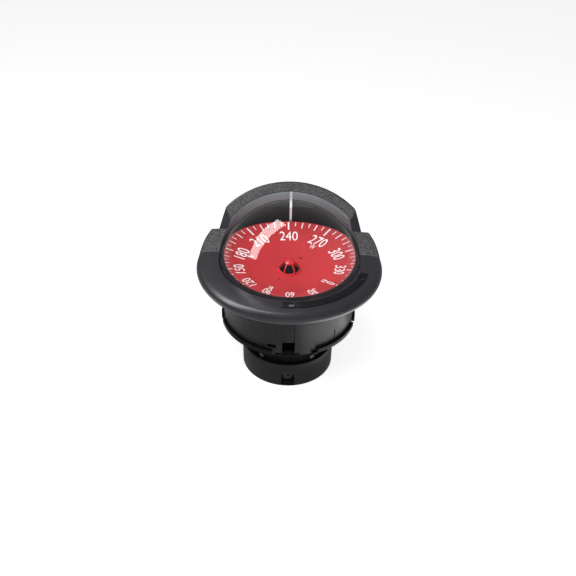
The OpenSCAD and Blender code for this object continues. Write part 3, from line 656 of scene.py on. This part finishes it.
# %% [markdown]
# The mould's grain, with its painted sheen, lies on the faces that look up, and stops short of every outer
# edge, which stays smooth and dark. So does the ledge behind the step. The faces along the inner radius get
# the wall's painted light and shade. Each face gets its finish by its place and its normal, as one would pick
# them by hand.

# %% Grained and smooth faces of the hood
grain_up = 0.6
grain_from = hood_in + 0.9 * MM
smooth_band = 2.2 * MM
step_low = flange_plane + 18 * MM
ledge_y = 45 * MM
wall_reach = hood_in + 0.3 * MM
wall_up = 0.7


def hood_finish(face):
    middle = face.center
    reach = math.hypot(middle.x, middle.y)
    on_rim = reach > step_out - smooth_band and (middle.z > step_low or middle.y > ledge_y)
    looks_up = face.normal.z > grain_up and grain_from < reach < flange_r - smooth_band
    if looks_up and middle.y > front_y and not on_rim:
        return 1
    return 2 if reach < wall_reach and abs(face.normal.z) < wall_up else 0


hood.data.materials.clear()
for material in (flange_black, hood_grain_painted_sheen, inner_wall_painted_light):
    hood.data.materials.append(material)
for face in hood.data.polygons:
    face.material_index = hood_finish(face)
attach(hood, "housing")
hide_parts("hood")
print("grained faces:", sum(face.material_index == 1 for face in hood.data.polygons))

# %% [markdown]
# ## Rounded copies of CAD nodes
# A moulded part has no knife edges. A copy of the node is merged, its flat triangles are dissolved, and a
# bevel rounds every sharp edge, which is what catches the light along a black part.

# %% Rounding a copy
flat_angle = 0.5
sharp_angle = 35


def rounded_copy(node, name, width, material, segments=3):
    mesh = frame["nodes"][node].data.copy()
    piece = bpy.data.objects.new(name, mesh)
    mesh.name = name
    bpy.context.scene.collection.objects.link(piece)
    take(piece)
    bpy.ops.object.mode_set(mode="EDIT")
    bpy.ops.mesh.select_all(action="SELECT")
    bpy.ops.mesh.remove_doubles(threshold=merge_gap)
    bpy.ops.mesh.dissolve_limited(angle_limit=math.radians(flat_angle))
    bpy.ops.object.mode_set(mode="OBJECT")
    apply_modifier(
        piece, "BEVEL", width=width * MM, segments=segments, limit_method="ANGLE",
        angle_limit=math.radians(sharp_angle), use_clamp_overlap=True,
    )
    smooth(piece, sharp_angle)
    mesh.materials.clear()
    mesh.materials.append(material)
    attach(piece, body_of(frame["nodes"][node])[0])
    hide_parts(node)
    print(f"{name}: {len(mesh.polygons)} faces")
    return piece


# %% [markdown]
# The wide mouldings get the wider roundings, in millimetres. The card's hub is a small cage of thin ribs, so
# its rounding is the finest and has fewer segments.

# %% The flange and the parts below it
rounded_copy("bezel_ring", "flange_ring", 0.35, flange_black)
canister = rounded_copy("canister", "canister_shell", 0.25, canister_black)
rounded_copy("clamp_ring", "clamp_segments", 0.3, ring_black)
rounded_copy("neck", "neck_tube", 0.3, ring_black)
rounded_copy("lower_cup", "cup_shell", 0.5, canister_black)
rounded_copy("cable_gland", "gland_fitting", 0.25, gland_grey)
rounded_copy("label_plate", "label_strip", 0.15, label_black)
rounded_copy("card_hub", "hub_cage", 0.12, hub_red, segments=2)
rounded_copy("jewel_holder", "jewel_post", 0.3, holder_black)

# %% [markdown]
# A thin slit frees the right edge of the spring tongue over the front window. A narrow block is placed in the
# wall there, and a boolean modifier cuts it out of the canister's copy.

# %% The tongue's slit
slit_x, slit_w, slit_depth = 6.4 * MM, 0.8 * MM, 1.2 * MM
tongue_foot, tongue_gap = 19 * MM, 4 * MM
slit_low, slit_high = node_bottom("canister") + tongue_foot, panel_face - tongue_gap
canister_r = 66.5 * MM
wall_y = -math.sqrt(canister_r**2 - slit_x**2)
bpy.ops.object.select_all(action="DESELECT")
bpy.ops.mesh.primitive_cube_add(
    size=1,
    location=(slit_x, wall_y, (slit_low + slit_high) / 2),
    scale=(slit_w, slit_depth * 2, slit_high - slit_low),
)
cutter = bpy.context.object
apply_modifier(canister, "BOOLEAN", object=cutter, operation="DIFFERENCE", solver="EXACT")
take(cutter)
bpy.ops.object.delete()
print("canister after the slit:", len(canister.data.polygons), "faces")

# %% [markdown]
# ## Nodes that keep their CAD shape
# The screws, the gimbal, the magnets and the other small or inner parts have the right shape already. A copy
# would add nothing, so they only get their finishes.

# %% Finishes on CAD nodes
NODE_FINISHES = {
    "hood_line": line_white, "lubber_line": white_paint, "dome_gasket": rubber_black,
    "bowl": inner_black, "night_lamp": lamp_red, "gimbal_stand": inner_black,
    "stand_screws": screw_steel, "diaphragm": rubber_black, "diaphragm_clamp": pale_alloy,
    "clamp_screws": screw_steel, "filler_plug": warm_brass, "canister_screws": screw_steel,
    "neck_screws": screw_steel, "cup_screws": dark_steel, "hood_screws": screw_steel,
    "gimbal_ring": magnet_grey, "gimbal_pins": screw_steel, "cradle": inner_black,
    "cradle_pins": screw_steel, "counterweight": warm_brass, "pivot": screw_steel,
    "card_disc": card_red, "jewel": jewel_red, "card_float": inner_black, "card_magnets": magnet_grey,
    # comp_screw_b is the same steel screw as comp_screw_a; the dark steel on it is painted shade
    "comp_screw_a": screw_steel, "comp_screw_b": dark_steel, "comp_magnet_a": magnet_grey,
    "comp_magnet_b": magnet_grey,
}
for node, material in NODE_FINISHES.items():
    slots = frame["nodes"][node].data.materials
    slots.clear()
    slots.append(material)
print(len(NODE_FINISHES), "nodes keep their CAD shape")

# %% [markdown]
# ## Print on the card
# A compass card is printed in white: a tick every 5 degrees, longer at each 10 and 30, numbers every 30 and
# the letters of the cardinal points inside them. Each tick is a thin raised bar, as a screen print is. The
# card is turned to the heading that the photograph shows.

# %% Ticks
print_lift = 0.05 * MM
print_t = 0.04 * MM
tick_outer = 46.9 * MM
card_twist = -1.4
heading = 240
TICK_SIZES = {30: (5.5 * MM, 0.85 * MM), 10: (3.9 * MM, 0.65 * MM), 5: (2.6 * MM, 0.5 * MM)}


def to_card(bearing):
    turn = Matrix.Rotation(-math.radians(bearing - heading + card_twist), 4, "Z")
    return Matrix.Translation((0, 0, card_face)) @ turn


def add_tick(length, width, bearing):
    bpy.ops.object.select_all(action="DESELECT")
    bpy.ops.mesh.primitive_cube_add(size=1)
    bar = bpy.context.object
    bar.name = "tick"
    for vertex in bar.data.vertices:
        x, y, z = vertex.co
        vertex.co = (x * width, tick_outer - length / 2 + y * length, print_lift + z * print_t)
    bar.data.transform(to_card(bearing))
    return bar


def joined(parts, name):
    bpy.ops.object.select_all(action="DESELECT")
    for part in parts:
        part.select_set(True)
    bpy.context.view_layer.objects.active = parts[0]
    bpy.ops.object.join()
    parts[0].name = parts[0].data.name = name
    return parts[0]


ticks = []
for bearing in range(0, 360, min(TICK_SIZES)):
    step = next(step for step in TICK_SIZES if bearing % step == 0)
    ticks.append(add_tick(*TICK_SIZES[step], bearing))
card_ticks = joined(ticks, "card_ticks")
print("ticks:", len(card_ticks.data.polygons), "faces")

# %% [markdown]
# Numbers start as text, become a mesh, and are fitted to their height and width on the card before they are
# turned to their place. Their tops point outwards, so the one behind the lubber line reads upright.

# %% Numbers and letters
number_r = 35.8 * MM
number_h = 8 * MM
NUMBER_WIDTHS = {1: 2.9 * MM, 2: 6.9 * MM, 3: 10.9 * MM}
letter_r = 29.6 * MM
letter_h = 3.8 * MM
letter_w = 3.4 * MM
number_every = 30
curve_steps = 6


def add_word(word, height, width, radius, bearing):
    bpy.ops.object.select_all(action="DESELECT")
    bpy.ops.object.text_add()
    text = bpy.context.object
    text.data.body = word
    text.data.resolution_u = curve_steps
    bpy.ops.object.convert(target="MESH")
    text = bpy.context.object
    co = np.array([vertex.co for vertex in text.data.vertices])
    low, high = co.min(0), co.max(0)
    scale = np.array([width / (high[0] - low[0]), height / (high[1] - low[1]), 1])
    for vertex, c in zip(text.data.vertices, (co - (low + high) / 2) * scale):
        vertex.co = (c[0], c[1] + radius, print_lift + print_t / 2)
    text.data.transform(to_card(bearing))
    return text


words = []
for bearing in range(0, 360, number_every):
    number = str(bearing)
    words.append(add_word(number, number_h, NUMBER_WIDTHS[len(number)], number_r, bearing))
for bearing, letter in {0: "N", 90: "E", 180: "S", 270: "W"}.items():
    words.append(add_word(letter, letter_h, letter_w, letter_r, bearing))
card_numbers = joined(words, "card_numbers")
print("numbers:", len(card_numbers.data.polygons), "faces")

for piece in (card_ticks, card_numbers):
    piece.data.materials.clear()
    piece.data.materials.append(white_paint)
    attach(piece, "card")

# %% [markdown]
# ## Floor, backdrop and light
# The floor is plain and pale. Camera rays, and those that come through the dome, also see a light of its own
# in it, so that it reads white, and the compass still leaves its soft shadow. Gloss sees only a tenth of the
# white, because more of it would hide the black plastic behind a haze.

# %% Floor
gloss_share = 0.1
floor_r = 6
floor_drop = 0.1 * MM
floor_sides = 96
floor_grey = 0.8
floor_glow = 0.75


def seen_rays(tree, through):
    path = tree.nodes.new("ShaderNodeLightPath")
    seen = path.outputs["Is Camera Ray"]
    for ray, share in (("Is Glossy Ray", gloss_share), ("Is Transmission Ray", through)):
        part, brightest = tree.nodes.new("ShaderNodeMath"), tree.nodes.new("ShaderNodeMath")
        part.operation, brightest.operation = "MULTIPLY", "MAXIMUM"
        part.inputs[1].default_value = share
        tree.links.new(path.outputs[ray], part.inputs[0])
        tree.links.new(seen, brightest.inputs[0])
        tree.links.new(part.outputs[0], brightest.inputs[1])
        seen = brightest.outputs[0]
    return seen


bpy.ops.object.select_all(action="DESELECT")
bpy.ops.mesh.primitive_circle_add(
    vertices=floor_sides, radius=floor_r, fill_type="NGON", location=(0, 0, -floor_drop)
)
floor = bpy.context.object
floor.name = "floor"
floor_paint = bpy.data.materials.new("floor_paint")
floor_paint.use_nodes = True
tree = floor_paint.node_tree
tree.nodes.remove(tree.nodes["Principled BSDF"])
pale = tree.nodes.new("ShaderNodeBsdfDiffuse")
pale.inputs["Color"].default_value = (floor_grey, floor_grey, floor_grey, 1)
glow = tree.nodes.new("ShaderNodeEmission")
glow_level = tree.nodes.new("ShaderNodeMath")
glow_level.operation = "MULTIPLY"
glow_level.inputs[1].default_value = floor_glow
tree.links.new(seen_rays(tree, 1), glow_level.inputs[0])
tree.links.new(glow_level.outputs[0], glow.inputs["Strength"])
both = tree.nodes.new("ShaderNodeAddShader")
tree.links.new(pale.outputs[0], both.inputs[0])
tree.links.new(glow.outputs[0], both.inputs[1])
tree.links.new(both.outputs[0], tree.nodes["Material Output"].inputs["Surface"])
floor.data.materials.append(floor_paint)
print("floor", floor_r, "m round the compass")

# %% [markdown]
# The world is white to the camera and a low grey to everything else, which is the studio's soft fill. Rays
# that leave through the dome see the grey as well: the whole white behind it would light the card twice.

# %% World
fill_level = 0.17
white_level = 1.0
world = bpy.data.worlds.new("studio")
bpy.context.scene.world = world
world.use_nodes = True
tree = world.node_tree
background = tree.nodes["Background"]
background.inputs["Color"].default_value = (1, 1, 1, 1)
level = tree.nodes.new("ShaderNodeMapRange")
level.inputs["To Min"].default_value = fill_level
level.inputs["To Max"].default_value = white_level
tree.links.new(seen_rays(tree, 0), level.inputs["Value"])
tree.links.new(level.outputs["Result"], background.inputs["Strength"])
print("fill light at", fill_level)

# %% [markdown]
# The lamps are soft boxes, and each does one job. Two wide ones, above and in front, light the surfaces and
# leave no reflection. The others are seen in gloss alone: a long strip at the left above the dome, whose
# curved reflection is the pale band over the card, and two small panels near the floor that draw the bright
# lines along the canister and the flange's edge.

# %% Lamps
object_middle = Vector((0, 0, 0.12))


def soft_box(name, middle, long_axis, short_axis, length, width, power, gloss_only):
    data = bpy.data.lights.new(name, "AREA")
    data.shape = "RECTANGLE"
    data.size, data.size_y = length, width
    data.energy = power
    lamp = bpy.data.objects.new(name, data)
    bpy.context.scene.collection.objects.link(lamp)
    along, across = Vector(long_axis).normalized(), Vector(short_axis)
    across = (across - across.dot(along) * along).normalized()
    away = along.cross(across)
    if away.dot(Vector(middle) - object_middle) < 0:
        across, away = -across, -away
    turn = Matrix((along, across, away)).transposed().to_4x4()
    lamp.matrix_world = Matrix.Translation(middle) @ turn
    lamp.visible_camera = False
    lamp.visible_diffuse, lamp.visible_glossy = not gloss_only, gloss_only


soft_box(
    "box_above", (-0.30, -0.35, 1.10), long_axis=(1, 0, 0), short_axis=(0, 1, 0.4),
    length=0.9, width=0.7, power=5.6, gloss_only=False,
)
soft_box(
    "box_front", (0.40, -1.10, 0.50), long_axis=(1, 0.35, 0), short_axis=(0, 0, 1),
    length=0.7, width=0.6, power=5, gloss_only=False,
)
soft_box(
    "strip_left", (-0.560, 0.022, 0.770), long_axis=(0.827, 0.646, 0.245), short_axis=(-0.149, 0.216, -0.067),
    length=1.077, width=0.27, power=8.6, gloss_only=True,
)
soft_box(
    "panel_left", (-0.20, 0.03, 0.002), long_axis=(0.1, 1, 0), short_axis=(1, 0, 0),
    length=0.18, width=0.10, power=0.07, gloss_only=True,
)
soft_box(
    "panel_right", (0.125, -0.085, 0.002), long_axis=(0.35, 1, 0), short_axis=(1, 0, 0),
    length=0.20, width=0.13, power=0.16, gloss_only=True,
)
bpy.context.scene.view_settings.view_transform = "Standard"
print(len(bpy.data.lights), "lamps")
